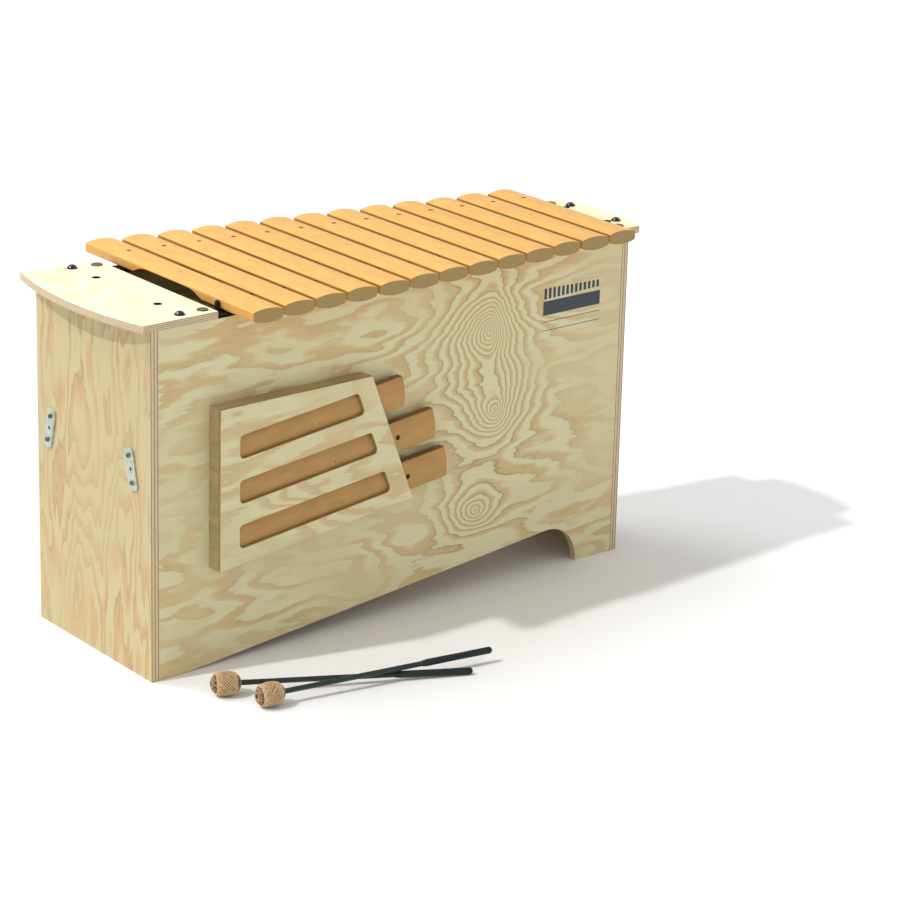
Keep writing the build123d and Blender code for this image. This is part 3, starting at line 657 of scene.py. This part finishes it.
shaft_gloss = grainy("beater_shaft", srgb(14, 34, 32), srgb(24, 48, 44), 1.2, 0.24, 0.02, 0.5)
grip_rubber = grainy("beater_grip", srgb(8, 24, 25), srgb(18, 37, 38), 0.8, 0.5, 0.06, 0.4)
core_rubber = grainy("beater_core", srgb(90, 66, 44), srgb(120, 90, 60), 1.0, 0.8, 0.05)
BEATERS = {  # middle of the head, far end of the grip
    "mallet_a": (Vector((-0.4593, -0.2030, 0.0213)), Vector((-0.0671, -0.3544, 0.0063))),
    "mallet_b": (Vector((-0.4247, -0.2807, 0.0213)), Vector((-0.0085, -0.3296, 0.0227))),
}
GRIP_LENGTH = 127.0 * MM
GRIP_R = 6.0 * MM
SLEEVE_OUTLINE = (  # distance from where the grip starts, and radius, in millimetres
    (-7.5, 4.52),
    (-7.0, 5.2),
    (-1.5, 5.4),
    (-1.0, 5.7),
    (0.4, 6.1),
    (4.0, 6.0),
    (60.0, 5.8),
)
SLEEVE_END_ANGLES = (0.0, 0.3, 0.6, 0.9, 1.15, 1.4)  # places round the rounded far end, in radians
SLEEVE_TIP_R = 0.4 * MM
for number, (name, (head, end)) in enumerate(BEATERS.items()):
    run = (end - head).normalized()
    side = run.cross(Z).normalized()
    place = Matrix((run, side, run.cross(side))).transposed().to_4x4()
    place.translation = head
    wound = wound_head(f"{name}_winding", 11 + number)
    wound.transform(place)
    yarn = yarn_shader(f"{name}_wound_yarn", head, run)
    new_piece(f"{name}_winding", wound, yarn, name, "beater_yarn", f"{name}_yarn")
    under = under_layer(f"{name}_under_layer")
    under.transform(place)
    new_piece(f"{name}_under_layer", under, yarn, name, "beater_yarn")
    length = (end - head).length
    start = length - GRIP_LENGTH
    outline = [(start + along * MM, radius * MM) for along, radius in SLEEVE_OUTLINE]
    outline += [(length - GRIP_R * (1 - sin(t)), GRIP_R * cos(t)) for t in SLEEVE_END_ANGLES]
    outline.append((length, SLEEVE_TIP_R))
    sleeve = lathe(f"{name}_sleeve", outline)
    sleeve.transform(place)
    new_piece(f"{name}_sleeve", sleeve, grip_rubber, name, "beater_grip", f"{name}_grip")
    dress(shaft_gloss, f"{name}_shaft")
    dress(core_rubber, f"{name}_core")

# --- stage, light and camera ---------------------------------------------------------------------------
FLOOR_HALF = 40.0
floor_mesh = bpy.data.meshes.new("floor")
corners = [(x * FLOOR_HALF, y * FLOOR_HALF, 0) for x, y in ((-1, -1), (1, -1), (1, 1), (-1, 1))]
floor_mesh.from_pydata(corners, [], [(0, 1, 2, 3)])
floor = bpy.data.objects.new("floor", floor_mesh)
bpy.context.scene.collection.objects.link(floor)
paper = Shader("floor_paper")
paper.set(Base_Color=(0.9, 0.9, 0.9, 1), Roughness=0.9, Specular_IOR_Level=0.1)
floor_mesh.materials.append(paper.material)

world = bpy.data.worlds.new("studio")
bpy.context.scene.world = world
world.use_nodes = True
sky = world.node_tree.nodes["Background"]
sky.inputs["Color"].default_value = (1.0, 1.0, 1.0, 1)
sky.inputs["Strength"].default_value = 0.66


def sun(name, toward, strength, spread):
    """A sun that shines along a direction; spread is its apparent size in degrees."""
    light = bpy.data.lights.new(name, "SUN")
    light.energy = strength
    light.angle = radians(spread)
    lamp = bpy.data.objects.new(name, light)
    lamp.rotation_mode = "QUATERNION"
    lamp.rotation_quaternion = Vector(toward).to_track_quat("-Z", "Y")
    bpy.context.scene.collection.objects.link(lamp)


SUNS = (("key", -10, 50, 1.55, 2.5), ("top", -58, 62, 0.8, 24))
for name, azimuth, elevation, strength, spread in SUNS:
    azimuth, elevation = radians(azimuth), radians(elevation)
    toward = (cos(azimuth) * cos(elevation), sin(azimuth) * cos(elevation), -sin(elevation))
    sun(name, toward, strength, spread)

ACCENT_AT = Vector((-1.67, 1.84, 2.61))
ACCENT_AIM = Vector((-0.531, 0.09, 0.45))
accent = bpy.data.lights.new("accent", "SPOT")
accent.energy = 70.0
accent.spot_size = radians(24)
accent.spot_blend = 0.6
accent.shadow_soft_size = 0.12
accent_lamp = bpy.data.objects.new("accent", accent)
accent_lamp.location = ACCENT_AT
accent_lamp.rotation_mode = "QUATERNION"
accent_lamp.rotation_quaternion = (ACCENT_AIM - ACCENT_AT).to_track_quat("-Z", "Y")
bpy.context.scene.collection.objects.link(accent_lamp)

CAMERA_AT = Vector((-3.1407, -4.2676, 2.0400))
AZIMUTH, ELEVATION, ROLL = radians(-37.6), radians(18.32), radians(1.51)
camera_data = bpy.data.cameras.new("camera")
camera_data.lens = 128.67
camera_data.sensor_width = 36.0
camera_data.clip_end = 200
camera = bpy.data.objects.new("camera", camera_data)
bpy.context.scene.collection.objects.link(camera)
back = Vector((sin(AZIMUTH) * cos(ELEVATION), -cos(AZIMUTH) * cos(ELEVATION), sin(ELEVATION)))
right = Vector((cos(AZIMUTH), sin(AZIMUTH), 0))
up = back.cross(right)
turned_right = right * cos(ROLL) + up * sin(ROLL)
turned_up = up * cos(ROLL) - right * sin(ROLL)
turn = Matrix((turned_right, turned_up, back)).transposed().to_4x4()
camera.matrix_world = Matrix.Translation(CAMERA_AT) @ turn
bpy.context.scene.camera = camera
bpy.context.scene.view_settings.view_transform = "Standard"
